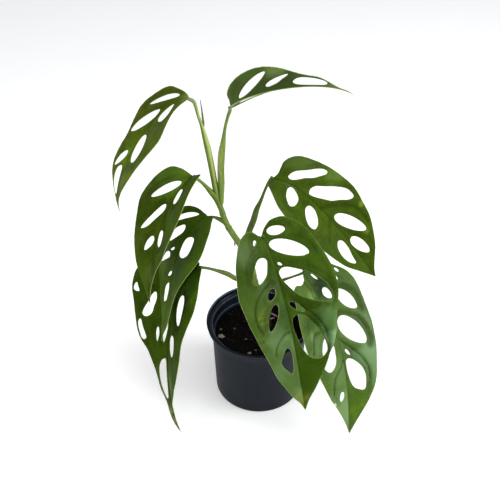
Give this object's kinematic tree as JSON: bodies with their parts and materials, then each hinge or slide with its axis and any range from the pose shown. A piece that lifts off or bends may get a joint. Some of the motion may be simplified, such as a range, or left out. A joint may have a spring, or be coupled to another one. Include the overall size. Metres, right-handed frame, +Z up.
{
  "type": "potted plant",
  "caption": "Young monstera adansonii with leaning green stem, long stalks and drooping pointed leaves full of through holes, in a round dark nursery pot of soil.",
  "frame": {"origin": "centre of the underside of the pot, on the surface it stands on", "axes": "+Z up along the pot's axis; -Y towards the side that the leaves turn to; +X to the right seen from that side"},
  "size_m": [0.2777, 0.2016, 0.4126],
  "materials": {
    "pot_plastic": "satin",
    "soil_mix": "matt, crumbly",
    "perlite": "matt",
    "bark": "matt",
    "stem_green": "satin",
    "root_tan": "matt",
    "stalk_green": "satin",
    "blade_green": "satin, waxy"
  },
  "bodies": {
    "root": {"pot": "pot_plastic", "soil": "soil_mix", "perlite_a": "perlite", "perlite_b": "perlite", "perlite_c": "perlite", "perlite_d": "perlite", "bark_a": "bark", "bark_b": "bark", "bark_c": "bark", "stem": "stem_green", "root_a": "root_tan", "root_b": "root_tan", "root_nub_a": "root_tan", "root_nub_b": "root_tan", "stalk_lower_right": "stalk_green", "stalk_front": "stalk_green", "stalk_lower_left": "stalk_green", "stalk_middle_left": "stalk_green", "stalk_upper_right": "stalk_green", "stalk_left": "stalk_green", "stalk_top_right": "stalk_green", "stalk_top_left": "stalk_green", "spear": "stalk_green", "leaf_lower_right": "blade_green", "leaf_front": "blade_green", "leaf_lower_left": "blade_green", "leaf_middle_left": "blade_green", "leaf_upper_right": "blade_green", "leaf_left": "blade_green", "leaf_top_right": "blade_green", "leaf_top_left": "blade_green"}
  },
  "joints": []
}
